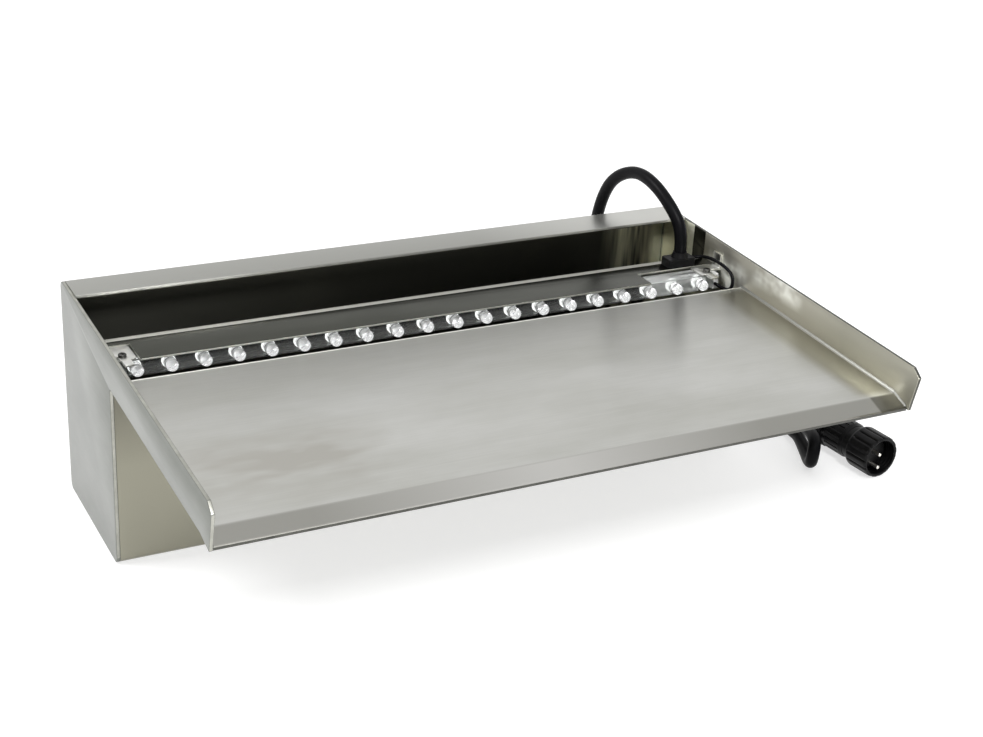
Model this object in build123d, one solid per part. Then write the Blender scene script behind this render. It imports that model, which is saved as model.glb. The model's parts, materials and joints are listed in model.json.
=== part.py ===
from build123d import *
import math
import os

# A stainless-steel waterfall spillway for a pond or pool wall: a tank that fills from
# behind, a sloping deck with a drip lip, and a strip of lamps behind the deck's edge.
# Millimetres, +Z up, the lip runs along X and the water leaves towards -Y.
# The origin lies on the base plane, below the centre of the steel body.

# body
width = 300.0
sheet = 1.5
bend_radius = 1.5  # inside radius of the folds
tank_depth = 72.0
tank_height = 98.0
flange_depth = 20.0
deck_rear_height = 80.7  # top face of the deck over the front wall
deck_slope = 2.6  # degrees, falling towards the lip
deck_length = 111.0
lip_length = 9.2
lip_angle = 20.0  # degrees below level
reach = 194.0  # from the back wall to the tips of the side panels
panel_front_height = 90.8
panel_chamfer = (4.2, 3.4)
panel_toe = (0.7, 0.9)  # how far each panel's lower corner stands past the lip, below it
weld_leg = 1.0
weld_root = 0.2  # share of the leg that is sunk in the sheet
weld_hollow = 0.42

# water inlet, a one inch pipe thread
inlet_length = 28.0
inlet_radius = 16.62
inlet_bore_radius = 13.5
inlet_height = 28.0

# flow baffle
baffle_sheet = 1.0
baffle_rear = 34.4
baffle_front = 59.0
baffle_top = 84.0
baffle_fold = 8.0
left_notch = (15.0, 16.0)  # along X, along Y
right_notch = (42.5, 12.5)

# light strip
strip_rear = 47.5
strip_depth = 9.0
strip_bottom = 75.2
strip_height = 7.6
strip_wall = 0.8
strip_half_length = 142.0
lamp_count = 20
lamp_pitch = 14.2
lamp_radius = 2.5
lamp_flange_radius = 2.85
lamp_base = 52.9  # where the flange of each lamp starts
lamp_length = 8.6
hole_play = 0.1
leg_spacing = 2.54
leg_width = 0.5
board_rear = 49.0
board_sheet = 1.6
board_height = 5.6
board_half_length = 138.2
resistor_size = (3.2, 0.6, 1.6)
resistor_count = 7
cap_flange = 3.0
cap_spigot = 3.4
bracket_sheet = 1.0
left_bracket_rear = 43.5
right_bracket_rear = 47.0
bracket_reach = 14.0
bracket_pad_front = 53.0
bracket_tongue = (7.2, 57.5)  # outer edge's distance from the panel, front end
bracket_finger = (7.6, 11.4, 62.5)  # the finger's two edges from the panel, front end
bracket_rise = 7.7
screw_radius = 1.0
screw_head_radius = 1.7
screw_length = 4.0
screw_place = (139.6, 54.2)  # distance from the middle, distance from the back wall

# cable
cable_radius = 3.0
gland_size = (14.5, 8.0, 4.0)
gland_centre = (131.2, 42.2)
boot_height = 2.5
lead_radius = 0.8
cable_start = (131.6, 42.4)

# plug, measured along its own axis from its rear
plug_front = (196.9, 128.7)  # X, and distance in front of the back wall
plug_length = 44.0
plug_heading = (0.08, -1.0, 0.0)
nut_radius = 10.2
nut_rear = 30.0
nut_shoulder = 3.0
nut_bore_radius = 8.7
body_radius = 8.8
body_waist_radius = 8.3
rear_nut_radius = 9.3
neck_radius = 7.0
neck_play = 0.05
axial_play = 0.3
floor_play = 0.1
insert_radius = 7.2
insert_front = 38.5
pin_radius = 0.9
pin_length = 4.7
pin_offsets = (1.0, -5.6)  # above and below the plug's axis, so it goes in one way

half = width / 2 - sheet  # inner face of each side panel
back_y = (reach - inlet_length) / 2
slope = math.tan(math.radians(deck_slope))
underside_drop = sheet / math.cos(math.radians(deck_slope))


def side_point(forward, height):
    """A point of the side view: distance in front of the back wall, height."""
    return (back_y - forward, height)


def space_point(x, forward, height):
    return (x, back_y - forward, height)


def deck_top(forward):
    return deck_rear_height - slope * (forward - tank_depth + 1)


deck_bend = tank_depth - sheet + deck_length
lip_tip = (deck_bend + lip_length * math.cos(math.radians(lip_angle)),
           deck_top(deck_bend) - lip_length * math.sin(math.radians(lip_angle)))


def side_face(outline):
    """A closed outline in the side view, as a face at X = 0."""
    return Plane.YZ * make_face(outline)


def box_between(low, high):
    size = [b - a for a, b in zip(low, high)]
    middle = [(a + b) / 2 for a, b in zip(low, high)]
    return Pos(*middle) * Box(*[abs(s) for s in size])


def folded_sheet(points, thickness, radius, length):
    """Folds a sheet along the points of one face; the thickness lies on the right
    of the way the points run. Each fold keeps one inside radius."""
    points = [Vector(*p, 0) for p in points]
    runs = [(b - a).normalized() for a, b in zip(points, points[1:])]
    right = [Vector(r.Y, -r.X, 0) for r in runs]
    offset = [points[0] + right[0] * thickness]
    given_radii = []
    offset_radii = []
    for corner, before, after in zip(points[1:-1], range(len(runs)), range(1, len(runs))):
        across = right[before] + right[after]
        offset.append(corner + across * (2 * thickness / across.dot(across)))
        turns_right = runs[before].cross(runs[after]).Z < 0
        given_radii.append(radius + thickness if turns_right else radius)
        offset_radii.append(radius if turns_right else radius + thickness)
    offset.append(points[-1] + right[-1] * thickness)
    given = FilletPolyline(*points, radius=given_radii)
    other = FilletPolyline(*offset, radius=offset_radii)
    ends = [Line(points[0], offset[0]), Line(points[-1], offset[-1])]
    return extrude(side_face([given, other, *ends]), amount=length / 2, both=True)


def tank_shell():
    wall_top = deck_top(tank_depth) - underside_drop
    profile = [(flange_depth, tank_height), (0, tank_height), (0, 0), (tank_depth, 0),
               (tank_depth, wall_top)]
    outer = [side_point(*p) for p in profile]
    shell = folded_sheet(outer, sheet, bend_radius, 2 * half)
    place = Plane(origin=space_point(0, sheet / 2, inlet_height), z_dir=(0, 1, 0))
    return shell - place * Cylinder(inlet_bore_radius, 2 * sheet)


def side_panel(side):
    tip = reach
    outline = [(0, 0), (0, tank_height), (tip - panel_chamfer[0], panel_front_height),
               (tip, panel_front_height - panel_chamfer[1]),
               (lip_tip[0] + panel_toe[0], lip_tip[1] - panel_toe[1]),
               (deck_bend, deck_top(deck_bend) - underside_drop),
               (tank_depth, deck_top(tank_depth) - underside_drop), (tank_depth, 0)]
    plate = make_face(Polyline(*[side_point(*p) for p in outline], close=True))
    folded_corners = [side_point(0, 0), side_point(0, tank_height), side_point(tank_depth, 0)]
    rounded = [v for v in plate.vertices()
               if any(abs(v.X - y) < 0.01 and abs(v.Y - z) < 0.01 for y, z in folded_corners)]
    plate = fillet(rounded, bend_radius + sheet)
    inner_corner = [v for v in plate.vertices()
                    if abs(v.X - side_point(tank_depth, 0)[0]) < 0.01 and v.Y > tank_depth]
    plate = fillet(inner_corner, 1.0)
    panel = extrude(Plane.YZ * plate, amount=sheet)
    return Pos(half if side > 0 else -half - sheet, 0, 0) * panel


def spillway_deck():
    rear = tank_depth - sheet
    top = [lip_tip, (deck_bend, deck_top(deck_bend)), (rear, deck_top(rear))]
    deck = folded_sheet([side_point(*p) for p in top], sheet, bend_radius, 2 * half)
    for side in (-1, 1):
        deck += weld_bead(side, (rear, deck_top(rear)), deck_slope, deck_length)
        deck += weld_bead(side, (deck_bend - 1, deck_top(deck_bend - 1)), lip_angle, lip_length)
    return deck


def weld_bead(side, start, fall, length):
    """A fillet weld in the corner between a side panel and the deck, which falls away
    from the start of the bead by an angle in degrees."""
    fall = math.radians(fall)
    corner = Plane(origin=space_point(side * half, *start), x_dir=(-side, 0, 0),
                   z_dir=(0, -math.cos(fall), -math.sin(fall)))
    rise = weld_leg if (corner.y_dir.Z > 0) else -weld_leg
    foot = -weld_root * rise
    bead = make_face([Line((0, foot), (0, rise)), Line((weld_leg, foot), (0, foot)),
                      Line((weld_leg, foot), (weld_leg, 0)),
                      ThreePointArc((weld_leg, 0), (weld_hollow * weld_leg, weld_hollow * rise),
                                    (0, rise))])
    return extrude(corner * bead, amount=length)


def inlet_stub():
    pipe = Cylinder(inlet_radius, inlet_length) - Cylinder(inlet_bore_radius, inlet_length)
    pipe = chamfer(pipe.faces().sort_by(Axis.Z)[-1].outer_wire().edges(), 1.2)
    place = Plane(origin=space_point(0, -inlet_length / 2, inlet_height), z_dir=(0, 1, 0))
    return place * pipe


def flow_baffle():
    profile = [(baffle_front, baffle_top), (baffle_rear, baffle_top),
               (baffle_rear, baffle_top - baffle_fold)]
    plate = folded_sheet([side_point(*p) for p in profile], baffle_sheet, baffle_sheet, 2 * half)
    for side, (along, across) in ((-1, left_notch), (1, right_notch)):
        low = space_point(side * (half - along), baffle_front - across, baffle_top - 3)
        high = space_point(side * (half + 1), baffle_front + 1, baffle_top + 3)
        plate -= box_between(low, high)
    return plate


def lamp_places():
    first = -lamp_pitch * (lamp_count - 1) / 2
    return [first + lamp_pitch * i for i in range(lamp_count)]


strip_middle = strip_bottom + strip_height / 2


def facing_forward(x, forward):
    """A frame on the strip's axis height whose Z runs forward, out of the strip."""
    return Plane(origin=space_point(x, forward, strip_middle), z_dir=(0, -1, 0))


def strip_tube():
    outer = box_between(space_point(-strip_half_length, strip_rear, strip_bottom),
                        space_point(strip_half_length, strip_rear + strip_depth,
                                    strip_bottom + strip_height))
    outer = fillet(outer.edges().filter_by(Axis.X), 0.6)
    tube = outer - box_between(
        space_point(-strip_half_length, strip_rear + strip_wall, strip_bottom + strip_wall),
        space_point(strip_half_length, strip_rear + strip_depth - strip_wall,
                    strip_bottom + strip_height - strip_wall))
    front = strip_rear + strip_depth - strip_wall / 2
    for x in lamp_places():
        tube -= facing_forward(x, front) * Cylinder(lamp_radius + hole_play, 3 * strip_wall)
    for side in (-1, 1):
        place = space_point(side * screw_place[0], screw_place[1], strip_bottom + strip_height)
        tube -= Pos(*place) * Cylinder(screw_radius + 0.1, 3 * strip_wall)
    return tube


def lamp():
    """A round lamp with a domed lens and a flange at its base, along Z."""
    straight = lamp_length - lamp_radius
    profile = make_face([
        Polyline((0, straight + lamp_radius), (0, 0), (lamp_flange_radius, 0),
                 (lamp_flange_radius, 1.0), (lamp_radius, 1.0), (lamp_radius, straight)),
        CenterArc((0, straight), lamp_radius, 0, 90)])
    return revolve(Plane.XZ * profile, Axis.Z)


def strip_lamps():
    one = lamp()
    return Compound([facing_forward(x, lamp_base).location * one for x in lamp_places()])


def lamp_legs():
    length = lamp_base - board_rear - board_sheet
    leg = Box(leg_width, leg_width, length)
    return Compound([facing_forward(x + offset, lamp_base - length / 2).location * leg
                     for x in lamp_places() for offset in (-leg_spacing / 2, leg_spacing / 2)])


def strip_circuit_board():
    low = strip_middle - board_height / 2
    return box_between(space_point(-board_half_length, board_rear, low),
                       space_point(board_half_length, board_rear + board_sheet,
                                   low + board_height))


def strip_resistors():
    """One resistor for each three lamps, halfway between two of them."""
    gaps = [x + lamp_pitch / 2 for x in lamp_places()[:-1:3]][:resistor_count]
    forward = board_rear + board_sheet + resistor_size[1] / 2
    return Compound([Pos(*space_point(x, forward, strip_middle)) * Box(*resistor_size)
                     for x in gaps])


def end_cap(side):
    outer = strip_half_length + cap_flange
    flange = box_between(space_point(strip_half_length, strip_rear, strip_bottom),
                         space_point(outer, strip_rear + strip_depth,
                                     strip_bottom + strip_height))
    flange = fillet(flange.edges().filter_by(Axis.X), 0.6)
    inset = strip_wall + 0.05
    spigot = box_between(
        space_point(strip_half_length - cap_spigot, strip_rear + inset, strip_bottom + inset),
        space_point(strip_half_length, strip_rear + strip_depth - inset,
                    strip_bottom + strip_height - inset))
    hole = Pos(*space_point(screw_place[0], screw_place[1], strip_bottom + strip_height))
    cap = flange + spigot - hole * Cylinder(screw_radius, 2 * screw_length)
    return cap if side > 0 else mirror(cap, Plane.YZ)


def strip_bracket(side):
    """A small angle: a leg on the side panel, a pad over the end of the strip, and a
    finger that reaches forward over the end cap."""
    bottom = strip_bottom + strip_height
    top = bottom + bracket_sheet
    rear = left_bracket_rear if side < 0 else right_bracket_rear
    inner_edge = half - bracket_reach
    pad = box_between(space_point(inner_edge, rear, bottom),
                      space_point(half, bracket_pad_front, top))
    upright = box_between(space_point(half - bracket_sheet, rear, bottom),
                          space_point(half, bracket_pad_front, bottom + bracket_rise))
    tongue = box_between(space_point(inner_edge, bracket_pad_front - bracket_sheet, bottom),
                         space_point(half - bracket_tongue[0], bracket_tongue[1], top))
    finger_outer, finger_inner, finger_front = bracket_finger
    finger = box_between(space_point(half - finger_inner, bracket_pad_front, bottom),
                         space_point(half - finger_outer, finger_front, top))
    angle = pad + upright + tongue + finger
    upright_edges = angle.edges().filter_by(Axis.Z)
    free_corners = upright_edges.filter_by_position(Axis.X, inner_edge - 0.01, inner_edge + 0.01)
    angle = fillet(free_corners, 2.0)
    inner = angle.edges().filter_by(Axis.Y).filter_by_position(
        Axis.X, half - bracket_sheet - 0.01, half - bracket_sheet + 0.01).sort_by(Axis.Z)[0]
    angle = fillet(inner, 0.8)
    hole = Pos(*space_point(screw_place[0], screw_place[1], bottom))
    angle -= hole * Cylinder(screw_radius + 0.2, 4 * bracket_sheet)
    return angle if side > 0 else mirror(angle, Plane.YZ)


def bracket_screws():
    top = strip_bottom + strip_height + bracket_sheet
    shank = Pos(0, 0, -screw_length / 2) * Cylinder(screw_radius, screw_length)
    head = Pos(0, 0, 0.7) * Cylinder(screw_head_radius, 1.4)
    head = fillet(head.edges().sort_by(Axis.Z)[-1], 0.6)
    head -= Pos(0, 0, 1.2) * Box(2.6, 0.5, 1.0)
    head -= Pos(0, 0, 1.2) * Box(0.5, 2.6, 1.0)
    screw = head + shank
    return Compound([Pos(*space_point(side * screw_place[0], screw_place[1], top)) * screw
                     for side in (-1, 1)])


def cable_gland():
    """A moulded block on the baffle with a tapered boot where the cable leaves."""
    length, depth, height = gland_size
    block = Pos(*space_point(*gland_centre, baffle_top + height / 2)) * Box(length, depth, height)
    block = fillet(block.edges().filter_by(Axis.Z), 1.2)
    block = fillet(block.faces().sort_by(Axis.Z)[-1].edges(), 0.6)
    boot = Pos(*space_point(*cable_start, baffle_top + height + boot_height / 2)) * Cone(
        4.1, 3.3, boot_height)
    return block + boot


def route_radii(points):
    """The largest arcs that leave a tenth of each run straight."""
    radii = []
    for a, b, c in zip(points, points[1:], points[2:]):
        shorter = min((b - a).length, (c - b).length)
        turn = math.radians((b - a).get_angle(c - b))
        radii.append(0.45 * shorter / math.tan(turn / 2))
    return radii


def tube_along(points, radius):
    """Sweeps a round tube along straight runs joined by tangent arcs."""
    points = [Vector(*p) for p in points]
    radii = route_radii(points)
    path = FilletPolyline(*points, radius=radii)
    section = Plane(origin=points[0], z_dir=points[1] - points[0]) * Circle(radius)
    tube = sweep(section, path=path)
    ideal = math.pi * radius ** 2 * path.length
    print(f"  length {path.length:.1f}, volume {tube.volume:.1f} of {ideal:.1f}, tightest {min(radii):.1f}")
    print("  radii", " ".join(f"{r:.0f}" for r in radii))
    return tube


plug_axis_height = nut_radius + floor_play
plug_direction = Vector(*plug_heading).normalized()
plug_tip = Vector(*space_point(*plug_front, plug_axis_height))
plug_rear = plug_tip - plug_direction * plug_length


def cable_route():
    """Up out of the boot, over the back wall, round the right-hand side of the tank on
    the floor, forward to a tight fold, back, and round a loop into the plug."""
    boot_top = baffle_top + gland_size[2] + boot_height
    over_the_wall = [
        (*cable_start, boot_top), (*cable_start, 100.5), (129.4, 36.0, 109.7),
        (126.8, 23.0, 118.4), (126.0, 7.0, 120.0), (122.6, -6.0, 113.4),
        (121.4, -14.0, 101.0), (120.6, -18.0, 82.0), (119.2, -21.0, 58.0),
        (119.5, -23.0, 34.0), (122.0, -25.0, 15.5), (131.0, -28.0, 5.5)]
    beside_the_tank = [
        (146.0, -28.0, 3.2), (159.0, -19.0, 3.0), (164.0, -4.0, 3.0), (164.5, 13.0, 3.0),
        (168.0, 31.0, 3.0), (174.5, 48.0, 3.0), (182.0, 64.0, 3.0), (186.5, 80.0, 3.0)]
    fold = [
        (179.5, 96.0, 3.0), (172.5, 109.5, 3.0), (170.4, 112.5, 8.8), (171.3, 109.5, 14.6)]
    loop = [
        (175.5, 98.5, 13.4), (179.0, 86.0, 11.2), (182.0, 72.0, 9.8), (183.0, 56.0, 8.6),
        (181.5, 40.0, 5.0), (179.5, 24.0, 3.0), (180.5, 7.7, 3.0), (188.0, -2.6, 3.0),
        (200.0, -6.5, 3.0), (212.0, -2.6, 3.0), (219.5, 7.7, 3.0), (220.0, 21.0, 3.0),
        (215.0, 36.0, 3.0), (206.0, 50.0, 3.8), (198.5, 61.0, 6.4)]
    points = over_the_wall + beside_the_tank + fold + loop
    into_the_plug = [tuple(plug_rear - plug_direction * 12), tuple(plug_rear)]
    return [space_point(*p) for p in points] + into_the_plug


def supply_cable():
    return tube_along(cable_route(), cable_radius)


def strip_lead():
    """The thin lead from the gland to the front of the strip's right end cap."""
    gland_side = gland_centre[0] + gland_size[0] / 2
    cap_front = strip_rear + strip_depth
    points = [(gland_side, 41.4, 86.2), (143.6, 41.4, 86.2), (145.2, 46.5, 87.4),
              (145.8, 54.0, 87.6), (145.9, 61.0, 87.0), (145.9, 66.3, 85.2),
              (145.7, 67.4, 80.6), (145.0, 65.6, 77.6), (143.4, 62.0, 78.0),
              (143.4, cap_front, 78.0)]
    return tube_along([space_point(*p) for p in points], lead_radius)


plug_frame = Plane(origin=plug_rear, x_dir=Vector(0, 0, 1), z_dir=plug_direction)


def turned(points):
    """A solid of revolution on the plug's axis, from radius and distance pairs."""
    return revolve(Plane.XZ * make_face(Polyline(*points, close=True)), Axis.Z)


def fluted(solid, count, radius, depth, start, end):
    groove = Pos(radius + depth, 0, (start + end) / 2) * Cylinder(2 * depth, end - start)
    return solid - [Rot(0, 0, 360 / count * i) * groove for i in range(count)]


def on_plug(solid):
    return plug_frame.location * solid


def plug_rear_nut():
    nut = turned([(0, 0), (5.0, 0), (7.8, 4.5), (rear_nut_radius, 5.6), (rear_nut_radius, 11.0),
                  (0, 11.0)])
    return on_plug(fluted(nut, 12, rear_nut_radius, 0.5, 5.0, 11.0))


def plug_body():
    neck_end = nut_rear + nut_shoulder + axial_play
    body_end = nut_rear - axial_play
    flange_radius = nut_bore_radius - 0.4
    return on_plug(turned([
        (0, 11.0), (body_waist_radius, 11.0), (body_waist_radius, 12.6), (body_radius, 13.6),
        (body_radius, 24.0), (body_waist_radius, 25.0), (body_waist_radius, body_end),
        (neck_radius, body_end), (neck_radius, neck_end), (flange_radius, neck_end),
        (flange_radius, neck_end + 2), (0, neck_end + 2)]))


def plug_coupling_nut():
    shoulder_end = nut_rear + nut_shoulder
    inner = neck_radius + neck_play
    nut = turned([
        (inner, nut_rear), (nut_radius - 0.9, nut_rear), (nut_radius, nut_rear + 1),
        (nut_radius, plug_length - 0.8), (nut_radius - 0.6, plug_length),
        (nut_bore_radius, plug_length), (nut_bore_radius, shoulder_end), (inner, shoulder_end)])
    return on_plug(fluted(nut, 16, nut_radius, 0.45, nut_rear + 2, plug_length))


def plug_insert():
    start = nut_rear + nut_shoulder + axial_play + 2
    edge = insert_front - 0.4
    return on_plug(turned([(0, start), (insert_radius, start), (insert_radius, edge),
                           (insert_radius - 0.4, insert_front), (0, insert_front)]))


def plug_seal_ring():
    start = nut_rear + nut_shoulder + axial_play + 2
    outer = nut_bore_radius - 0.4
    ring = turned([(insert_radius, start), (outer, start), (outer, start + 1.4),
                   (insert_radius, start + 1.4)])
    return on_plug(ring)


def plug_pins():
    pin = Pos(0, 0, insert_front + pin_length / 2) * Cylinder(pin_radius, pin_length)
    pin = fillet(pin.edges().sort_by(Axis.Z)[-1], 0.5)
    return Compound([plug_frame.location * (Pos(offset, 0, 0) * pin) for offset in pin_offsets])


parts = {
    "tank_shell": tank_shell(),
    "left_side_panel": side_panel(-1),
    "right_side_panel": side_panel(1),
    "spillway_deck": spillway_deck(),
    "inlet_stub": inlet_stub(),
    "flow_baffle": flow_baffle(),
    "strip_tube": strip_tube(),
    "strip_circuit_board": strip_circuit_board(),
    "strip_lamps": strip_lamps(),
    "lamp_legs": lamp_legs(),
    "strip_resistors": strip_resistors(),
    "left_end_cap": end_cap(-1),
    "right_end_cap": end_cap(1),
    "left_strip_bracket": strip_bracket(-1),
    "right_strip_bracket": strip_bracket(1),
    "bracket_screws": bracket_screws(),
    "cable_gland": cable_gland(),
    "strip_lead": strip_lead(),
    "supply_cable": supply_cable(),
    "plug_rear_nut": plug_rear_nut(),
    "plug_body": plug_body(),
    "plug_coupling_nut": plug_coupling_nut(),
    "plug_insert": plug_insert(),
    "plug_seal_ring": plug_seal_ring(),
    "plug_pins": plug_pins(),
}

os.makedirs("parts", exist_ok=True)
for name, solid in parts.items():
    export_step(solid, f"parts/{name}.step")
    print(f"{name}: {solid.volume:.0f} mm3")
print("plug rear", tuple(plug_rear), "tip", tuple(plug_tip))
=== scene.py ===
import json
import math
import bmesh
import bpy
from mathutils import Matrix, Vector


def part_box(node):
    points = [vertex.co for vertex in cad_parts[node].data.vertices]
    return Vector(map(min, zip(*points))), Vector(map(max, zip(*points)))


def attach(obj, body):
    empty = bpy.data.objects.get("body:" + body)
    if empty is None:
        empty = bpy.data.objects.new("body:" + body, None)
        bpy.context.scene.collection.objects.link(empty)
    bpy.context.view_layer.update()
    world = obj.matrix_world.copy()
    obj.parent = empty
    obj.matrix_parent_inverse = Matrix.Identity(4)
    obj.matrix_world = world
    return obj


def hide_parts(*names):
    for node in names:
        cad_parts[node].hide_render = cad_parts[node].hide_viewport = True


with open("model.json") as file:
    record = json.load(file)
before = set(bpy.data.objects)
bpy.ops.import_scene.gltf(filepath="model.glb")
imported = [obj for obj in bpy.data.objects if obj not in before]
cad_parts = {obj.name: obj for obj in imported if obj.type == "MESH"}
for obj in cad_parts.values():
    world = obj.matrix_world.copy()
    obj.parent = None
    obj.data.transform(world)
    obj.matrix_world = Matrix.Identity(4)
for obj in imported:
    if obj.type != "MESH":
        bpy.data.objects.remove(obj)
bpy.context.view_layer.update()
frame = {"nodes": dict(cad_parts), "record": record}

# Stainless waterfall spillway: folded sheet body, lamp strip behind the deck, cable and plug.
# Lengths in the dictionaries whose names end in Mm are millimetres, all others are metres.
steelBody = "spillway"
collarBody = "plug_collar"


def mm(value):
    return value / 1000


# Camera

cameraView = {
    "azimuth": -28.62,  # degrees, 0 looks along +Y
    "elevation": 24.43,
    "roll": 3.32,
    "place": (-0.30195, -0.57523, 0.36418),
    "lens": 61.67,
}


def makeCamera(view):
    azimuth, elevation, roll = (math.radians(view[k]) for k in ("azimuth", "elevation", "roll"))
    back = Vector((math.sin(azimuth) * math.cos(elevation),
                   -math.cos(azimuth) * math.cos(elevation), math.sin(elevation)))
    right = (-back).cross(Vector((0, 0, 1))).normalized()
    up = right.cross(-back)
    turnedRight = right * math.cos(roll) + up * math.sin(roll)
    turnedUp = up * math.cos(roll) - right * math.sin(roll)
    camera = bpy.data.objects.new("viewCamera", bpy.data.cameras.new("viewCamera"))
    camera.data.lens = view["lens"]
    camera.data.sensor_width = 36
    axes = Matrix((turnedRight, turnedUp, back)).transposed()
    camera.matrix_world = Matrix.Translation(view["place"]) @ axes.to_4x4()
    bpy.context.scene.collection.objects.link(camera)
    bpy.context.scene.camera = camera


makeCamera(cameraView)


# Colours and nodes

def toLinear(hexColour):
    channels = [int(hexColour[i:i + 2], 16) / 255 for i in (1, 3, 5)]
    linear = [c / 12.92 if c <= 0.04045 else ((c + 0.055) / 1.055) ** 2.4 for c in channels]
    return (*linear, 1.0)


def addNode(tree, kind, settings=None, **inputs):
    node = tree.nodes.new(kind)
    for name, value in (settings or {}).items():
        setattr(node, name, value)
    for name, value in inputs.items():  # in2 is the third socket, From_Min the one of that name
        isNumber = name.startswith("in") and name[2:].isdigit()
        socket = node.inputs[int(name[2:])] if isNumber else node.inputs[name.replace("_", " ")]
        if isinstance(value, bpy.types.NodeSocket):
            tree.links.new(value, socket)
        else:
            socket.default_value = value
    return node


def startMaterial(name):
    material = bpy.data.materials.new(name)
    material.use_nodes = True
    material.node_tree.nodes.clear()
    place = addNode(material.node_tree, "ShaderNodeTexCoord").outputs["Object"]
    return material, material.node_tree, place


def perMm(*sizes):
    return tuple(1000 / size for size in sizes)  # noise repeats for a pattern of these sizes


def noiseOver(tree, place, sizesMm, detail, roughness=0.6):
    scaled = addNode(tree, "ShaderNodeMapping", Vector=place, Scale=perMm(*sizesMm))
    return addNode(tree, "ShaderNodeTexNoise", Vector=scaled.outputs[0], Scale=1.0, Detail=detail,
                   Roughness=roughness).outputs["Fac"]


def withinBox(tree, place, lowMm, highMm, fadesMm=(0, 0, 0)):  # 1 inside the box, 0 outside
    middle = [mm(a + b) / 2 for a, b in zip(lowMm, highMm)]
    away = addNode(tree, "ShaderNodeVectorMath", {"operation": "SUBTRACT"}, in0=place, in1=middle)
    size = addNode(tree, "ShaderNodeVectorMath", {"operation": "ABSOLUTE"}, in0=away.outputs[0])
    sides = addNode(tree, "ShaderNodeSeparateXYZ", in0=size.outputs[0])
    inside = 1.0
    for side, low, high, fade in zip(sides.outputs, lowMm, highMm, fadesMm):
        half = (high - low) / 2
        under = addNode(tree, "ShaderNodeMapRange", Value=side, From_Max=mm(half), To_Min=1.0,
                        From_Min=mm(half - max(fade, 0.05)), To_Max=0.0)
        inside = addNode(tree, "ShaderNodeMath", {"operation": "MULTIPLY"}, in0=inside,
                         in1=under.outputs[0]).outputs[0]
    return inside


# Stainless 304 sheet, brushed: fine lines one way, highlights drawn out across them, sharp along
# them, faint handling marks. The real lines are about 0.1 mm apart; they are drawn wider so that
# they show. A zone is a part of the sheet with another colour and roughness. Most zones are painted
# light: painted shade, painted highlights and painted reflections. The zone inside the tank is the
# smooth mill finish that is left there, painted dark as painted shade.

def brushedStainless(name, look):
    material, tree, place = startMaterial(name)
    grain = noiseOver(tree, place, look["grainMm"], 3.0, 0.65)
    smear = noiseOver(tree, place, look["markMm"], 4.0)
    marked = addNode(tree, "ShaderNodeMapRange", Value=smear, From_Min=0.3, From_Max=0.7)
    tint = addNode(tree, "ShaderNodeMix", {"data_type": "RGBA"}, in0=marked.outputs[0],
                   in6=toLinear(look["colour"]), in7=toLinear(look["marked"]))
    streak = addNode(tree, "ShaderNodeMapRange", Value=grain, From_Min=0.25, From_Max=0.75,
                     To_Min=1 - look["lineDepth"], To_Max=1 + look["lineDepth"])
    colour = addNode(tree, "ShaderNodeVectorMath", {"operation": "SCALE"}, in0=tint.outputs[2],
                     Scale=streak.outputs[0]).outputs[0]
    rough = addNode(tree, "ShaderNodeMapRange", Value=smear, To_Min=look["roughness"] - 0.04,
                    To_Max=look["roughness"] + 0.06).outputs[0]
    relief = grain
    for zone in look.get("zones", []):
        inside = withinBox(tree, place, *zone["boxMm"], zone.get("fadesMm", (0, 0, 0)))
        if "patchMm" in zone:  # the zone's colour and roughness come and go in soft patches
            patch = noiseOver(tree, place, zone["patchMm"], 2.0)
            soft = addNode(tree, "ShaderNodeMapRange", Value=patch, From_Min=0.38, From_Max=0.62)
            inside = addNode(tree, "ShaderNodeMath", {"operation": "MULTIPLY"}, in0=inside,
                             in1=soft.outputs[0]).outputs[0]
        colour = addNode(tree, "ShaderNodeMix", {"data_type": "RGBA"}, in0=inside, in6=colour,
                         in7=toLinear(zone["colour"])).outputs[2]
        rough = addNode(tree, "ShaderNodeMix", in0=inside, in2=rough,
                        in3=zone["roughness"]).outputs[0]
    if "weldMm" in look:  # the weld beads start this far from the middle
        sides = addNode(tree, "ShaderNodeSeparateXYZ", in0=place)
        out = addNode(tree, "ShaderNodeMath", {"operation": "ABSOLUTE"}, in0=sides.outputs[0])
        bead = addNode(tree, "ShaderNodeMapRange", Value=out.outputs[0],
                       From_Min=mm(look["weldMm"] - 0.1), From_Max=mm(look["weldMm"])).outputs[0]
        scales = addNode(tree, "ShaderNodeTexWave", {"wave_type": "BANDS", "bands_direction": "Y"},
                         Vector=place, Scale=math.pi * 50 / look["weldScaleMm"], Distortion=1.5,
                         Detail=1.0)
        relief = addNode(tree, "ShaderNodeMix", in0=bead, in2=grain,
                         in3=scales.outputs["Fac"]).outputs[0]
        colour = addNode(tree, "ShaderNodeMix", {"data_type": "RGBA"}, in0=bead, in6=colour,
                         in7=toLinear(look["weldColour"])).outputs[2]
        rough = addNode(tree, "ShaderNodeMix", in0=bead, in2=rough,
                        in3=look["weldRoughness"]).outputs[0]
    scratch = addNode(tree, "ShaderNodeBump", Height=relief, Distance=mm(look["bumpMm"]),
                      Strength=look["bump"])
    facing = addNode(tree, "ShaderNodeNewGeometry")
    across = addNode(tree, "ShaderNodeVectorMath", {"operation": "CROSS_PRODUCT"},
                     in0=facing.outputs["Normal"], in1=look["lines"])
    shader = addNode(tree, "ShaderNodeBsdfPrincipled", Base_Color=colour, Metallic=1.0,
                     Roughness=rough, Anisotropic=look["drawnOut"], Normal=scratch.outputs[0],
                     Tangent=across.outputs[0])
    addNode(tree, "ShaderNodeOutputMaterial", Surface=shader.outputs[0])
    return material


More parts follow.
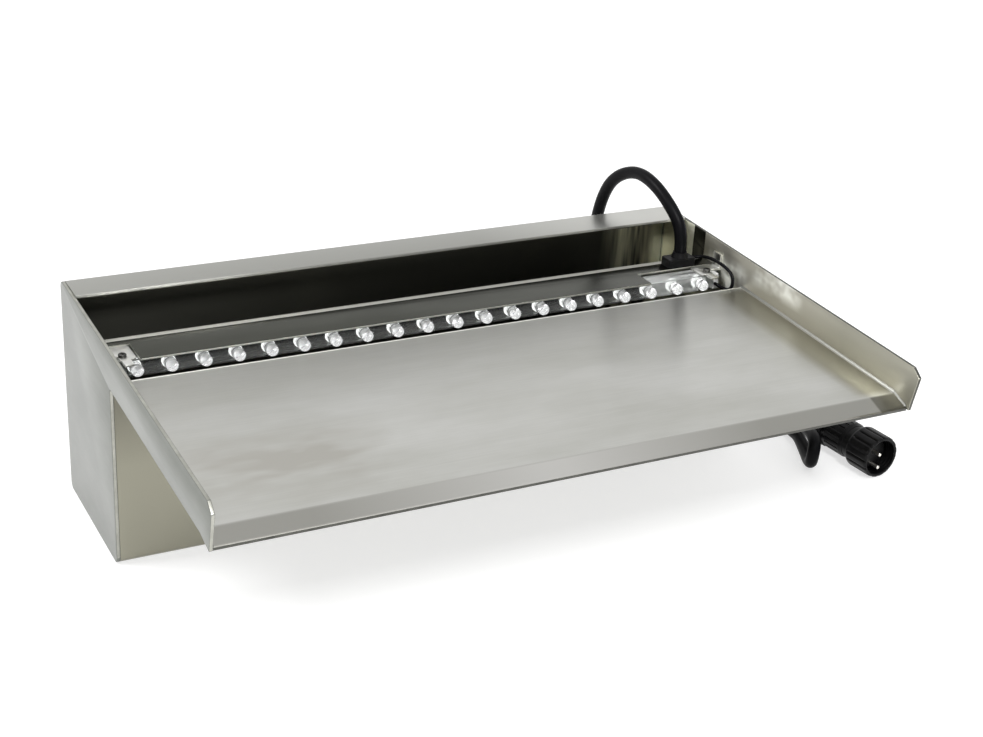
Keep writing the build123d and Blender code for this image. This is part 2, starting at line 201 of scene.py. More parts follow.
sheetLook = {
    "grainMm": (60, 0.9, 0.9), "markMm": (70, 24, 24), "lineDepth": 0.035,
    "colour": "#C8C8C3", "marked": "#BABAB4", "roughness": 0.33, "bumpMm": 0.01, "bump": 0.35,
    "lines": (1, 0, 0), "drawnOut": 0.75,
}
tankLook = dict(sheetLook, zones=[
    # painted shade: the inside of the tank, a smooth mill finish, is painted dark grey for the
    # shade inside it
    {"boxMm": ((-148.6, 11.8, 0.8), (148.6, 82.2, 97.2)), "colour": "#6C6C64", "roughness": 0.3},
    # painted shade: the front wall's outer face under the deck is painted darker, darker still
    # towards the top under the deck
    {"boxMm": ((-149, 10, -1), (149, 11.6, 79)), "colour": "#959385", "roughness": 0.36},
    {"boxMm": ((-149, 10, 44), (149, 11.6, 114)), "colour": "#77756A", "roughness": 0.36,
     "fadesMm": (0, 0, 35)},
    # painted highlights: the tank's back wall near its right end is painted near white in soft
    # patches
    {"boxMm": ((112, 80.8, 20), (170, 82.2, 97)), "colour": "#FFFDE4", "roughness": 0.55,
     "patchMm": (5, 30, 60), "fadesMm": (20, 0, 0)},
    {"boxMm": ((140, 80.8, 20), (156, 82.2, 97)), "colour": "#FFFFE8", "roughness": 0.75,
     "fadesMm": (4, 0, 0)},
    # painted light: the top of the tank's flange is painted darker, and lighter towards its right
    # end
    {"boxMm": ((-149, 60, 96.8), (149, 84, 99)), "colour": "#ABABA6", "roughness": 0.33},
    {"boxMm": ((40, 60, 96.8), (240, 84, 99)), "colour": "#D4D4CF", "roughness": 0.36,
     "fadesMm": (80, 0, 0)},
])
deckLook = dict(
    sheetLook, colour="#CECECA", marked="#C0C0BA", roughness=0.3, weldMm=147.8, weldScaleMm=1.1,
    weldColour="#7C7C77", weldRoughness=0.36, zones=[
        {"boxMm": ((-156, -99, 60), (-60, -35, 90)), "colour": "#B7B5AE", "roughness": 0.34,
         "patchMm": (34, 12, 30), "fadesMm": (25, 25, 0)},
        # painted shade: the lip in front of the bend is painted darker than the deck, lighter again
        # over a broad middle stretch, and much darker at its right end
        {"boxMm": ((-149, -113, 60), (149, -98, 79)), "colour": "#A6A59F", "roughness": 0.3,
         "fadesMm": (0, 1.2, 0)},
        {"boxMm": ((-110, -113, 60), (80, -98, 79)), "colour": "#D2D1CD", "roughness": 0.3,
         "fadesMm": (90, 1.2, 0)},
        {"boxMm": ((135, -113, 60), (149, -98, 79)), "colour": "#77766F", "roughness": 0.3,
         "fadesMm": (1, 1.2, 0)},
        # painted reflection: a darker band on the deck along the right wall, where the wall is
        # mirrored in the deck
        {"boxMm": ((130, -98, 60), (168, 11, 90)), "colour": "#ADAB9F", "roughness": 0.3,
         "fadesMm": (6, 4, 0)},
        # painted highlight: a near-white line along the deck's rear edge
        {"boxMm": ((-149, 11.6, 79), (149, 13, 82)), "colour": "#F0F0EA", "roughness": 0.5},
    ])
panelLook = dict(
    sheetLook, grainMm=(0.9, 60, 0.9), markMm=(24, 60, 24), lines=(0, 1, 0),
    # painted shade: the side panels are the same steel as the deck but painted much darker, for the
    # dimmer light they reflect
    colour="#82847F", marked="#767873", zones=[
        # painted reflection and painted highlights: the right wall's inner face is painted lighter
        # where it mirrors the deck, lighter still in the middle, and near white in soft patches and
        # a strip near the tank
        {"boxMm": ((147.8, -112, 60), (149.2, 80, 97)), "colour": "#ADAB9F", "roughness": 0.38},
        {"boxMm": ((147.8, -62, 60), (149.2, 60, 100)), "colour": "#C4C1B5", "roughness": 0.45,
         "fadesMm": (0, 40, 0)},
        {"boxMm": ((147.8, -34, 84), (149.2, 8, 106)), "colour": "#FFFFF8", "roughness": 0.5,
         "patchMm": (30, 14, 10), "fadesMm": (0, 6, 5)},
        {"boxMm": ((147.8, 8, 60), (149.2, 42, 92)), "colour": "#FFFFF8", "roughness": 0.6,
         "patchMm": (30, 10, 10), "fadesMm": (0, 6, 5)},
        {"boxMm": ((147.8, 54.5, 80), (149.2, 63, 97)), "colour": "#FFFFEE", "roughness": 0.5},
        # painted reflection: a dark band on the right wall's inner face where the cable is mirrored
        # in it
        {"boxMm": ((147.8, 45, 80), (149.2, 54.5, 97)), "colour": "#4A4A46", "roughness": 0.15},
    ])
baffleLook = dict(
    # painted shade: the baffle is painted dark grey for the shade it lies in below the flange
    sheetLook, colour="#595A54", marked="#4B4C46", roughness=0.22, drawnOut=0.0, zones=[
        # painted highlight: a light band along the baffle's rear bend
        {"boxMm": ((-149, 44, 70), (149, 49, 85)), "colour": "#DADAD2", "roughness": 0.5},
    ])
bracketLook = dict(
    sheetLook, colour="#E6E6E2", marked="#D0D0CB", roughness=0.3, grainMm=(8, 0.6, 0.6))
pipeLook = dict(sheetLook, grainMm=(12, 0.5, 12), roughness=0.28, drawnOut=0.0)
shearedLook = dict(  # sheared edge: rough, and painted darker than the brushed faces as a painted dark reflection
    sheetLook, grainMm=(0.7, 0.7, 0.7), markMm=(6, 6, 6), colour="#63635E", marked="#4C4C48",
    roughness=0.5, drawnOut=0.0)
edgeHighlightLook = dict(shearedLook, colour="#F4F4EC", marked="#DEDED6", roughness=0.45)  # painted highlight: edges painted near white, as if catching light
# painted highlight: the left panel's deburred cut edges are painted lighter than its faces, as
# edges catching light
rimLook = dict(shearedLook, colour="#B4B4AC", marked="#9C9C94", roughness=0.45)
screwLook = dict(
    sheetLook, grainMm=(0.5, 0.5, 0.5), markMm=(2, 2, 2), colour="#5A5A58", marked="#444442",
    roughness=0.35, drawnOut=0.0)


# Clear acrylic and epoxy: sharp reflections, a little milky, and hazy white in the frosted zone
# where it was sawn, glued or left unpolished.

def clearPlastic(name, look):
    material, tree, place = startMaterial(name)
    haze = noiseOver(tree, place, look["hazeMm"], 3.0, 0.7)
    rough = addNode(tree, "ShaderNodeMapRange", Value=haze, To_Min=look["roughness"],
                    To_Max=look["roughness"] + look["milky"]).outputs[0]
    clear = look["clear"]
    if "frostBoxMm" in look:
        frosted = withinBox(tree, place, *look["frostBoxMm"])
        cloud = addNode(tree, "ShaderNodeMapRange", Value=haze, From_Min=0.35, From_Max=0.65,
                        To_Min=look["frostClear"][0], To_Max=look["frostClear"][1])
        clear = addNode(tree, "ShaderNodeMix", in0=frosted, in2=clear,
                        in3=cloud.outputs[0]).outputs[0]
        rough = addNode(tree, "ShaderNodeMix", in0=frosted, in2=rough,
                        in3=look["frostRoughness"]).outputs[0]
    glow = {}
    if "rimBoxMm" in look:  # painted glow: the lens rim emits light, standing in for light a lens pipes to its moulded rim
        rim = withinBox(tree, place, *look["rimBoxMm"])
        lit = addNode(tree, "ShaderNodeMath", {"operation": "MULTIPLY"}, in0=rim,
                      in1=look["rimGlow"])
        glow = {"Emission_Color": toLinear(look["colour"]), "Emission_Strength": lit.outputs[0]}
    shader = addNode(tree, "ShaderNodeBsdfPrincipled", Base_Color=toLinear(look["colour"]),
                     Roughness=rough, IOR=look["ior"], Transmission_Weight=clear, **glow)
    addNode(tree, "ShaderNodeOutputMaterial", Surface=shader.outputs[0])
    return material


lampBox = [[1000 * side for side in corner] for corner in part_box("strip_lamps")]
tubeLook = {
    "colour": "#F2F4F2", "hazeMm": (14, 2, 2), "roughness": 0.03, "milky": 0.06, "ior": 1.3,
    "clear": 0.94, "frostBoxMm": ((106, 20, 70), (149, 40, 90)), "frostClear": (0.66, 1.0),
    "frostRoughness": 0.3,
}
capLook = {"colour": "#F2F4F2", "hazeMm": (5, 5, 5), "roughness": 0.15, "milky": 0.1, "ior": 1.4,
           "clear": 0.5}
lensLook = {
    "colour": "#FDFEFE", "hazeMm": (2.5, 2.5, 2.5), "roughness": 0.0, "milky": 0.05, "ior": 1.53,
    "clear": 0.98, "frostClear": (0.0, 0.25), "frostRoughness": 0.25,
    "frostBoxMm": ((lampBox[0][0] - 1, lampBox[0][1] + 3.6, lampBox[0][2] - 1),
                   (lampBox[1][0] + 1, lampBox[0][1] + 5.1, lampBox[1][2] + 1)),
    # painted glow: the lens rims are made to emit light, though the lamps are not lit
    "rimBoxMm": ((lampBox[0][0] - 1, lampBox[1][1] - 1.1, lampBox[0][2] - 1),
                 [side + 1 for side in lampBox[1]]),
    "rimGlow": 0.7,
}


# Black mouldings: nylon with a fine spark-eroded grain, rubber with a soft sheen and dust.

def blackMoulding(name, look):
    material, tree, place = startMaterial(name)
    grit = noiseOver(tree, place, [look["gritMm"]] * 3, 3.0, 0.7)
    dust = noiseOver(tree, place, [look["dustMm"]] * 3, 4.0)
    dusty = addNode(tree, "ShaderNodeMapRange", Value=dust, From_Min=0.45, From_Max=0.8, To_Max=0.5)
    colour = addNode(tree, "ShaderNodeMix", {"data_type": "RGBA"}, in0=dusty.outputs[0],
                     in6=toLinear(look["colour"]), in7=toLinear(look["dusty"]))
    rough = addNode(tree, "ShaderNodeMapRange", Value=grit, To_Min=look["roughness"] - 0.08,
                    To_Max=look["roughness"] + 0.1)
    skin = addNode(tree, "ShaderNodeBump", Height=grit, Distance=mm(look["bumpMm"]), Strength=0.5)
    shader = addNode(tree, "ShaderNodeBsdfPrincipled", Base_Color=colour.outputs[2],
                     Roughness=rough.outputs[0], IOR=look["ior"],
                     Specular_IOR_Level=look["sheen"], Normal=skin.outputs[0])
    addNode(tree, "ShaderNodeOutputMaterial", Surface=shader.outputs[0])
    return material


nylonLook = {"colour": "#080809", "dusty": "#181818", "gritMm": 0.5, "dustMm": 7,
             "roughness": 0.34, "bumpMm": 0.03, "ior": 1.45, "sheen": 0.2}
rubberLook = dict(nylonLook, colour="#040406", dusty="#0C0C10", roughness=0.42, gritMm=0.9,
                  sheen=0.12)
maskLook = dict(nylonLook, colour="#161616", dusty="#242424", roughness=0.35, gritMm=1.2)
sealLook = dict(nylonLook, colour="#0C0C0C", roughness=0.6)


# Plated or tinned metal: bright, slightly uneven. Matt silver plate scatters light like frost.

def platedMetal(name, look):
    material, tree, place = startMaterial(name)
    wear = noiseOver(tree, place, [look["wearMm"]] * 3, 3.0)
    rough = addNode(tree, "ShaderNodeMapRange", Value=wear, To_Min=look["roughness"],
                    To_Max=look["roughness"] + 0.15)
    shader = addNode(tree, "ShaderNodeBsdfPrincipled", Base_Color=toLinear(look["colour"]),
                     Metallic=1.0, Roughness=rough.outputs[0])
    addNode(tree, "ShaderNodeOutputMaterial", Surface=shader.outputs[0])
    return material


tinLook = {"colour": "#F4F4F1", "wearMm": 0.8, "roughness": 0.25}
silverLook = {"colour": "#FFFFFF", "wearMm": 0.5, "roughness": 0.5}
nickelLook = {"colour": "#F6F3EA", "wearMm": 2, "roughness": 0.25}

materials = {
    "tank": brushedStainless("brushedStainlessTank", tankLook),
    "deck": brushedStainless("brushedStainlessDeck", deckLook),
    "panel": brushedStainless("brushedStainlessPanel", panelLook),
    "baffle": brushedStainless("smoothStainlessBafflePaintedShade", baffleLook),
    "bracket": brushedStainless("brightStainlessBracket", bracketLook),
    "pipe": brushedStainless("turnedStainlessPipe", pipeLook),
    "sheared": brushedStainless("shearedStainlessEdgePaintedDark", shearedLook),
    "edgeHighlight": brushedStainless("stainlessEdgePaintedHighlight", edgeHighlightLook),
    "rim": brushedStainless("deburredStainlessRimPaintedHighlight", rimLook),
    "screw": brushedStainless("plainStainlessScrew", screwLook),
    "tube": clearPlastic("clearAcrylicTube", tubeLook),
    "cap": clearPlastic("clearAcrylicCap", capLook),
    "lens": clearPlastic("clearEpoxyLens", lensLook),
    "nylon": blackMoulding("mouldedBlackNylon", nylonLook),
    "rubber": blackMoulding("blackRubberJacket", rubberLook),
    "mask": blackMoulding("blackSolderMask", maskLook),
    "seal": blackMoulding("nitrileSeal", sealLook),
    "tin": platedMetal("tinnedCopper", tinLook),
    "silver": platedMetal("mattSilverPlate", silverLook),
    "nickel": platedMetal("nickelPlate", nickelLook),
}
print("materials", len(materials))


# Pieces


def roundOff(bm, sharpDegrees=32):
    for face in bm.faces:
        face.smooth = True
    for edge in bm.edges:
        edge.smooth = (len(edge.link_faces) == 2
                       and edge.calc_face_angle(0) < math.radians(sharpDegrees))


def addPiece(name, bm, finishes, body, replaced=()):
    mesh = bpy.data.meshes.new(name)
    roundOff(bm)
    bm.to_mesh(mesh)
    bm.free()
    piece = bpy.data.objects.new(name, mesh)
    bpy.context.scene.collection.objects.link(piece)
    for finish in finishes:
        mesh.materials.append(materials[finish])
    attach(piece, body)
    if replaced:
        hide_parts(*replaced)
    return piece


def paintNode(node, finish):
    for materialSlot in frame["nodes"][node].material_slots:
        materialSlot.material = materials[finish]


# Sheet metal: each sheet is its CAD solid with its edges eased, as after deburring. Cut edges of
# sheets "cutMm" thick get their own materials, which paint highlights and shade on them: one in
# front of the deck's rear, one behind it.

sheetPieces = {
    "tank_shell": {"finish": "tank", "easeMm": 0.15},
    "left_side_panel": {"finish": "panel", "easeMm": 0.2, "cutMm": 1.5, "cut": ("rim", "rim")},
    "right_side_panel": {"finish": "panel", "easeMm": 0.2, "cutMm": 1.5,
                         "cut": ("sheared", "sheared")},
    "spillway_deck": {"finish": "deck", "easeMm": 0.15, "cutMm": 1.5, "cut": ("sheared", "edgeHighlight")},
    "flow_baffle": {"finish": "baffle", "easeMm": 0.12, "cutMm": 1.0, "cut": ("edgeHighlight", "edgeHighlight")},
    "left_strip_bracket": {"finish": "bracket", "easeMm": 0.12},
    "right_strip_bracket": {"finish": "bracket", "easeMm": 0.12},
}


def isCutEdge(face, cut):  # a strip as wide as the sheet is thick, with square corners
    edges = sorted(face.edges, key=lambda edge: edge.calc_length())
    return (len(edges) == 4 and edges[1].calc_length() < mm(cut * 1.1)
            and edges[2].calc_length() > mm(cut * 1.3)
            and all(edge.calc_face_angle(0) > math.radians(60) for edge in edges[2:]))


def dressSheet(node, look):
    bm = bmesh.new()
    bm.from_mesh(frame["nodes"][node].data)
    bmesh.ops.remove_doubles(bm, verts=bm.verts, dist=1e-6)
    bmesh.ops.dissolve_limit(bm, angle_limit=math.radians(0.5), verts=bm.verts, edges=bm.edges)
    if "cut" in look:
        for face in bm.faces:
            if isCutEdge(face, look["cutMm"]):
                face.material_index = 2 if face.calc_center_median().y > 0 else 1
    sharp = [e for e in bm.edges if len(e.link_faces) == 2
             and e.calc_face_angle(0) > math.radians(25)]
    bmesh.ops.bevel(bm, geom=sharp, offset=mm(look["easeMm"]), segments=2, profile=0.5,
                    affect="EDGES", clamp_overlap=True, material=0)
    name = "".join(word.capitalize() for word in node.split("_"))
    addPiece("sheet" + name, bm, [look["finish"], *look.get("cut", ())], steelBody,
             [node])


for node, look in sheetPieces.items():
    dressSheet(node, look)
print("sheet pieces", len(sheetPieces))

plainPieces = {
    "strip_tube": "tube", "strip_circuit_board": "mask", "strip_lamps": "lens",
    "lamp_legs": "tin", "strip_resistors": "mask", "left_end_cap": "cap", "right_end_cap": "cap",
    "bracket_screws": "screw", "cable_gland": "nylon", "plug_insert": "nylon",
    "plug_seal_ring": "seal", "plug_pins": "nickel",
}
for node, finish in plainPieces.items():
    paintNode(node, finish)


# Turned pieces

def lathe(profileMm, steps, frameMatrix, shape=None):
    bm = bmesh.new()
    rings = []
    for radius, along in profileMm:
        ring = []
        for i in range(steps):
            angle = 2 * math.pi * i / steps
            r = shape(radius, along, angle) if shape else radius
            ring.append(bm.verts.new(frameMatrix @ Vector(
                (mm(r * math.cos(angle)), mm(r * math.sin(angle)), mm(along)))))
        rings.append(ring)
    for near, far in zip(rings, rings[1:] + rings[:1]):
        for i in range(steps):
            j = (i + 1) % steps
            bm.faces.new((near[i], near[j], far[j], far[i]))
    bmesh.ops.recalc_face_normals(bm, faces=bm.faces)
    return bm


def axisFrame(place, axis):
    z = Vector(axis).normalized()
    x = Vector((0, 0, 1)) - z * z.z
    x = x.normalized() if x.length > 0.1 else Vector((1, 0, 0))
    return Matrix.Translation(place) @ Matrix((x, z.cross(x), z)).transposed().to_4x4()


mounts = {mount["name"]: mount for mount in frame["record"]["mounts"]}

# Inlet stub with a one inch pipe thread

inlet = {
    "lengthMm": 28, "radiusMm": 16.62, "boreMm": 13.5, "sides": 72,
    "pitchMm": 2.309, "depthMm": 1.1, "threadFromMm": 5, "stepMm": 0.33,
    "plainMm": 4.0, "tipMm": 1.0, "tipDropMm": 0.6, "mouthMm": 0.4,  # ends of the stub
    "fadeInMm": 1.5, "fadeOutMm": 2,
}


def threadWave(along, angle, pitch):
    turn = (along / pitch - angle / (2 * math.pi)) % 1
    return 1 - abs(2 * turn - 1)


def makeInlet(stub):
    low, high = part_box("inlet_stub")
    place = Vector(((low.x + high.x) / 2, low.y, (low.z + high.z) / 2))
    tip, mouth = stub["tipMm"], stub["mouthMm"]
    rows = int((stub["lengthMm"] - tip - 0.2 - stub["threadFromMm"]) / stub["stepMm"])
    thread = [(stub["radiusMm"], stub["threadFromMm"] + i * stub["stepMm"]) for i in range(rows)]
    root = stub["radiusMm"] - stub["depthMm"]
    end = stub["lengthMm"]
    profile = [(stub["boreMm"], 0), (stub["radiusMm"], 0), (stub["radiusMm"], stub["plainMm"]),
               (root, stub["threadFromMm"] - 0.2), *thread, (root, end - tip),
               (root - stub["tipDropMm"], end), (stub["boreMm"] + mouth, end),
               (stub["boreMm"], end - mouth)]
    lastThread = thread[-1][1]

    def shape(radius, along, angle):
        if not stub["threadFromMm"] <= along <= lastThread or radius < stub["radiusMm"]:
            return radius
        fade = min(1, (along - stub["threadFromMm"]) / stub["fadeInMm"],
                   (lastThread - along) / stub["fadeOutMm"] + 0.1)
        return root + stub["depthMm"] * fade * threadWave(along, angle, stub["pitchMm"])

    bm = lathe(profile, stub["sides"], axisFrame(place, (0, 1, 0)), shape)
    addPiece("inletStub", bm, ["pipe"], steelBody, ["inlet_stub"])


makeInlet(inlet)

# Plug: rear nut, body and the coupling nut that spins on it. Profiles are pairs of radius and
# distance from the rear nut's back; grips, slots and threads are cut where a ring is wider than
# "aboveMm" and lies past "fromMm".

plugLengthMm = 44
plugAxis = Vector(mounts["plug_face"]["axis"])
plugRear = Vector(mounts["plug_face"]["pos_m"]) - plugAxis * mm(plugLengthMm)
plugFrame = axisFrame(plugRear, plugAxis)

couplingNut = {
    "lobes": 16, "sidesPerLobe": 12, "lobeDepthMm": 0.55, "aboveMm": 9.5, "fromMm": 31.5,
    "threadMm": 0.3, "pitchMm": 1.6, "threadBelowMm": 8.75, "threadFromMm": 33.2,
    "outsideMm": [(9.2, 30), (9.9, 30.3), (10.15, 30.9), (10.2, 31.4), (10.2, 32.0), (10.2, 34),
                  (10.2, 40), (10.2, 42.6), (10.1, 43.3), (9.85, 43.8), (9.5, 44), (8.95, 44)],
    "boreMm": 8.7, "boreFrontMm": 43.7, "threadTopMm": 43.4, "threadRings": 25, "ringStepMm": 0.4,
    "shoulderMm": [(8.7, 33), (7.06, 33), (7.06, 30)],
}


def makeCouplingNut(nut):
    def shape(radius, along, angle):
        if radius > nut["aboveMm"] and along > nut["fromMm"]:
            valley = max(0, math.cos(nut["lobes"] * angle)) ** 3
            return radius - nut["lobeDepthMm"] * valley
        if radius < nut["threadBelowMm"] and along > nut["threadFromMm"]:
            return radius - nut["threadMm"] * threadWave(along, angle, nut["pitchMm"])
        return radius

    thread = [(nut["boreMm"], nut["threadTopMm"] - i * nut["ringStepMm"])
              for i in range(nut["threadRings"])]
    profile = [*nut["outsideMm"], (nut["boreMm"], nut["boreFrontMm"]), *thread, *nut["shoulderMm"]]
    bm = lathe(profile, nut["lobes"] * nut["sidesPerLobe"], plugFrame, shape)
    return addPiece("plugCouplingNut", bm, ["nylon"], collarBody,
                    ["plug_coupling_nut"])


plugBody = {
    "slots": 10, "slotWidth": 0.35, "slotDepthMm": 0.35, "aboveMm": 8.7, "fromMm": 14.2,
    "toMm": 23.6, "sides": 120,
    "profileMm": [
        (0.5, 11), (8.0, 11), (8.3, 11.3), (8.3, 12.6), (8.6, 13.2), (8.8, 13.7), (8.8, 14.1),
        (8.8, 14.4), (8.8, 23.4), (8.8, 23.7), (8.8, 24.0), (8.3, 25), (8.3, 25.6), (8.0, 25.8),
        (8.0, 26.5), (8.3, 26.7), (8.3, 29.4), (8.0, 29.7), (7.0, 29.7), (7.0, 33.3), (8.3, 33.3),
        (8.3, 35.3), (0.5, 35.3)],
}


def makePlugBody(body):
    def shape(radius, along, angle):
        if body["fromMm"] < along < body["toMm"] and radius > body["aboveMm"]:
            inSlot = abs(math.sin(body["slots"] * angle)) < body["slotWidth"]
            return radius - body["slotDepthMm"] * inSlot
        return radius

    bm = lathe(body["profileMm"], body["sides"], plugFrame, shape)
    return addPiece("plugBody", bm, ["nylon"], steelBody, ["plug_body"])


rearNut = {
    "grips": 12, "sidesPerGrip": 10, "gripDepthMm": 0.5, "aboveMm": 7.9, "fromMm": 4.9,
    "profileMm": [(3.0, 0), (4.4, 0), (5.0, 0.4), (5.6, 1.1), (7.8, 4.6), (8.6, 5.1), (9.15, 5.7),
                  (9.3, 6.2), (9.3, 10.4), (9.1, 10.8), (8.6, 11), (3.0, 11)],
}


def makeRearNut(nut):
    def shape(radius, along, angle):
        if radius > nut["aboveMm"] and along > nut["fromMm"]:
            return radius - nut["gripDepthMm"] * max(0, math.cos(nut["grips"] * angle)) ** 2
        return radius

    bm = lathe(nut["profileMm"], nut["grips"] * nut["sidesPerGrip"], plugFrame, shape)
    return addPiece("plugRearNut", bm, ["nylon"], steelBody,
                    ["plug_rear_nut"])


plugPieces = [makeCouplingNut(couplingNut), makePlugBody(plugBody), makeRearNut(rearNut)]
plugPieces += [frame["nodes"][node] for node in ("plug_insert", "plug_seal_ring", "plug_pins")]
print("plug pieces", len(plugPieces))

# Lamps: the lead frame with its reflector cup inside each clear lens, and the solder behind it

lamps = {
    "count": 20, "flangeMm": 2.85, "legMm": 1.27, "backMm": 8.5,
    "cupRadiusMm": 1.15, "cupDepthMm": 0.8, "cupFrontMm": 4.4, "cupWallMm": 0.12,
    "cupFloorMm": 0.25, "holeMm": 0.05, "anvilMm": (1.3, 0.6), "postMm": (0.6, 0.5),
    "insetMm": 0.2, "solderMm": 0.75, "solderSides": 12,
}


def addBlock(bm, low, high):
    size = [b - a for a, b in zip(low, high)]
    place = Matrix.Translation([(a + b) / 2 for a, b in zip(low, high)])
    bmesh.ops.create_cube(bm, size=1, matrix=place @ Matrix.Diagonal((*size, 1)))


def addRings(bm, rings, axisPoint, steps=16):
    loops = []
    for radius, back in rings:  # distance behind the dome's tip
        loops.append([bm.verts.new(axisPoint + Vector(
            (mm(radius * math.cos(2 * math.pi * i / steps)), mm(back),
             mm(radius * math.sin(2 * math.pi * i / steps))))) for i in range(steps)])
    for near, far in zip(loops, loops[1:] + loops[:1]):
        for i in range(steps):
            j = (i + 1) % steps
            bm.faces.new((near[i], near[j], far[j], far[i]))


def lampPlaces(look):
    low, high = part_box("strip_lamps")
    first = low.x + mm(look["flangeMm"])
    pitch = (high.x - low.x - 2 * mm(look["flangeMm"])) / (look["count"] - 1)
    return [first + pitch * i for i in range(look["count"])]


def makeLampInsides(look):
    low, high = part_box("strip_lamps")
    middle = (low.z + high.z) / 2
    bm = bmesh.new()
    front, radius, leg = look["cupFrontMm"], look["cupRadiusMm"], look["legMm"]
    bottom = front + look["cupDepthMm"]
    under = bottom + look["cupFloorMm"]
    hole, inset = look["holeMm"], look["insetMm"]
    (anvilWide, anvilThick), (postWide, postThick) = look["anvilMm"], look["postMm"]
    for x in lampPlaces(look):
        addRings(bm, [(radius, front), (radius * 0.5, bottom), (hole, bottom), (hole, under),
                      (radius * 0.8, under), (radius + look["cupWallMm"], front + 0.1)],
                 Vector((x, low.y, middle)))
        addBlock(bm, (x - mm(leg + 0.3), low.y + mm(bottom + inset), middle - mm(anvilThick / 2)),
                 (x + mm(anvilWide / 2), low.y + mm(look["backMm"]), middle + mm(anvilThick / 2)))
        addBlock(bm, (x + mm(leg - inset), low.y + mm(front + inset), middle - mm(postThick / 2)),
                 (x + mm(leg + postWide - inset), low.y + mm(look["backMm"]),
                  middle + mm(postThick / 2)))
    bmesh.ops.recalc_face_normals(bm, faces=bm.faces)
    addPiece("lampLeadFrames", bm, ["silver"], steelBody)


def makeSolder(look):
    low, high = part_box("lamp_legs")
    middle = (low.z + high.z) / 2
    bm = bmesh.new()
    size, hole = look["solderMm"], look["holeMm"]
    for x in lampPlaces(look):
        for side in (-1, 1):
            foot = Vector((x + side * mm(look["legMm"]), high.y, middle))
            addRings(bm, [(hole, 0), (size, 0), (size * 0.8, -size / 3), (size * 0.45, -size * 0.8),
                          (hole, -size)], foot, look["solderSides"])
    bmesh.ops.recalc_face_normals(bm, faces=bm.faces)
    addPiece("solderJoints", bm, ["tin"], steelBody)


makeLampInsides(lamps)
makeSolder(lamps)
print("lamps", lamps["count"])

# Supply cable, and the lead from its gland to the lamp strip

supplyCable = {
    "name": "supplyCable", "node": "supply_cable", "diameter": 0.006, "length": 0.585,
    "end": "plug", "stiffness": "medium",
    "route": [
        (0.1316, 0.0406, 0.0905), (0.1316, 0.0406, 0.1005), (0.1294, 0.0470, 0.1097),
        (0.1268, 0.0600, 0.1184), (0.1260, 0.0760, 0.1200), (0.1226, 0.0890, 0.1134),
        (0.1214, 0.0970, 0.1010), (0.1206, 0.1010, 0.0820), (0.1192, 0.1040, 0.0580),
        (0.1195, 0.1060, 0.0340), (0.1220, 0.1080, 0.0155), (0.1310, 0.1110, 0.0055),
        (0.1460, 0.1110, 0.0032), (0.1590, 0.1020, 0.0030), (0.1640, 0.0870, 0.0030),
        (0.1645, 0.0700, 0.0030), (0.1680, 0.0520, 0.0030), (0.1745, 0.0350, 0.0030),
        (0.1820, 0.0190, 0.0030), (0.1855, 0.0030, 0.0030), (0.1780, -0.0130, 0.0030),
        (0.1706, -0.0275, 0.0030), (0.1693, -0.0300, 0.0086), (0.1721, -0.0270, 0.0148),
        (0.1773, -0.0162, 0.0142), (0.1806, -0.0040, 0.0118), (0.1820, 0.0110, 0.0098),
        (0.1830, 0.0270, 0.0086), (0.1815, 0.0430, 0.0050), (0.1795, 0.0590, 0.0030),
        (0.1805, 0.0753, 0.0030), (0.1880, 0.0856, 0.0030), (0.2000, 0.0895, 0.0030),
        (0.2120, 0.0856, 0.0030), (0.2195, 0.0753, 0.0030), (0.2200, 0.0620, 0.0030),
        (0.2150, 0.0470, 0.0030), (0.2060, 0.0330, 0.0038), (0.1985, 0.0220, 0.0064),
        (0.1924, 0.0101, 0.0103), (0.1934, -0.0018, 0.0103),
    ],
}
stripLead = {
    "name": "stripLead", "node": "strip_lead", "diameter": 0.0016, "length": 0.044,
    "end": "object", "stiffness": "limp",
    "route": [
        (0.13845, 0.0416, 0.0862), (0.1436, 0.0416, 0.0862), (0.1452, 0.0365, 0.0874),
        (0.1458, 0.0290, 0.0876), (0.1459, 0.0220, 0.0870), (0.1459, 0.0167, 0.0852),
        (0.1457, 0.0156, 0.0806), (0.1450, 0.0174, 0.0776), (0.1434, 0.0210, 0.0780),
        (0.1434, 0.0265, 0.0780),
    ],
}


def layCord(cord):
    curve = bpy.data.curves.new(cord["name"], "CURVE")
    curve.dimensions = "3D"
    curve.bevel_depth = cord["diameter"] / 2
    curve.bevel_resolution = 6
    curve.resolution_u = 12
    spline = curve.splines.new("NURBS")
    spline.points.add(len(cord["route"]) - 1)
    for point, place in zip(spline.points, cord["route"]):
        point.co = (*place, 1)
    spline.order_u = 3
    spline.use_endpoint_u = True
    piece = bpy.data.objects.new(cord["name"], curve)
    bpy.context.scene.collection.objects.link(piece)
    curve.materials.append(materials["rubber"])
    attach(piece, steelBody)
    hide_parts(cord["node"])


layCord(supplyCable)
layCord(stripLead)
print("cords laid")

# Floor and light

studio = {
    "floorSize": 30.0, "floorDrop": 0.00005, "floor": "#FFFFFF", "floorGlow": 0.64,
    "floorShade": 0.45, "skyBehind": 1.0, "skyAbove": 0.8, "skyFront": 0.55, "aim": (0, 0, 0.05),
    "keyPlace": (-0.75, 0.25, 1.1), "keySize": (0.4, 0.4), "keyPower": 10,
    "fillPlace": (-0.1, -0.75, 0.8), "fillSize": (0.2, 0.2), "fillPower": 8,
}


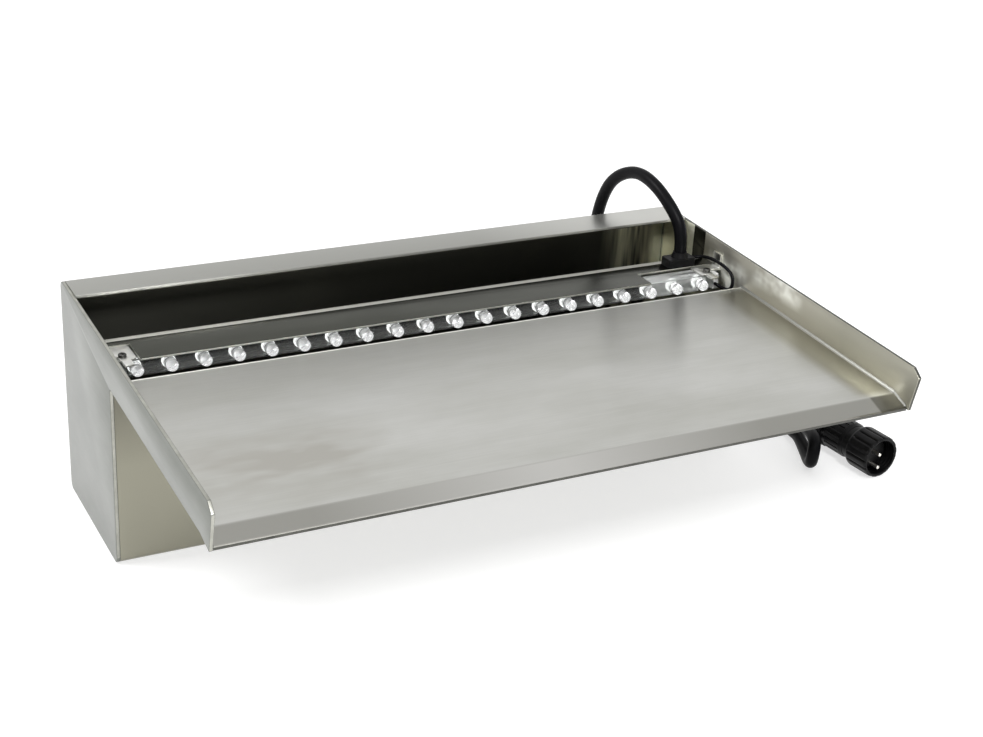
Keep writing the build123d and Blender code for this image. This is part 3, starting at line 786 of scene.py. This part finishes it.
def addFloor(settings):
    bm = bmesh.new()
    bmesh.ops.create_grid(bm, x_segments=1, y_segments=1, size=settings["floorSize"] / 2)
    mesh = bpy.data.meshes.new("studioFloor")
    bm.to_mesh(mesh)
    bm.free()
    floor = bpy.data.objects.new("studioFloor", mesh)
    floor.location.z = -settings["floorDrop"]
    bpy.context.scene.collection.objects.link(floor)
    material, tree, _ = startMaterial("paleLitPaper")  # lit from below, so shadows stay faint
    shade = settings["floorShade"]
    shader = addNode(tree, "ShaderNodeBsdfPrincipled", Base_Color=(shade, shade, shade, 1),
                     Roughness=0.9, Emission_Color=toLinear(settings["floor"]),
                     Emission_Strength=settings["floorGlow"])
    addNode(tree, "ShaderNodeOutputMaterial", Surface=shader.outputs[0])
    mesh.materials.append(material)


def addSky(settings):
    world = bpy.data.worlds.new("paleRoom")
    bpy.context.scene.world = world
    world.use_nodes = True
    tree = world.node_tree
    tree.nodes.clear()
    heading = addNode(tree, "ShaderNodeSeparateXYZ",
                      in0=addNode(tree, "ShaderNodeTexCoord").outputs["Generated"])
    low = addNode(tree, "ShaderNodeMapRange", Value=heading.outputs[1], From_Min=-0.6, From_Max=0.6,
                  To_Min=settings["skyFront"], To_Max=settings["skyBehind"])
    high = addNode(tree, "ShaderNodeMapRange", Value=heading.outputs[2], From_Min=0.35,
                   From_Max=0.9)
    strength = addNode(tree, "ShaderNodeMix", in0=high.outputs[0], in2=low.outputs[0],
                       in3=settings["skyAbove"])
    light = addNode(tree, "ShaderNodeBackground", Color=(1, 1, 1, 1), Strength=strength.outputs[0])
    addNode(tree, "ShaderNodeOutputWorld", Surface=light.outputs[0])


def addSoftbox(name, place, target, size, power):
    lamp = bpy.data.lights.new(name, "AREA")
    lamp.shape = "RECTANGLE"
    lamp.size, lamp.size_y = size
    lamp.energy = power
    piece = bpy.data.objects.new(name, lamp)
    piece.location = place
    piece.rotation_euler = (Vector(target) - Vector(place)).to_track_quat("-Z", "Y").to_euler()
    bpy.context.scene.collection.objects.link(piece)


addFloor(studio)
addSky(studio)
for role in ("key", "fill"):
    addSoftbox(role + "Softbox", studio[role + "Place"], studio["aim"], studio[role + "Size"],
               studio[role + "Power"])
bpy.context.scene.view_settings.view_transform = "Standard"
print("stage and light")
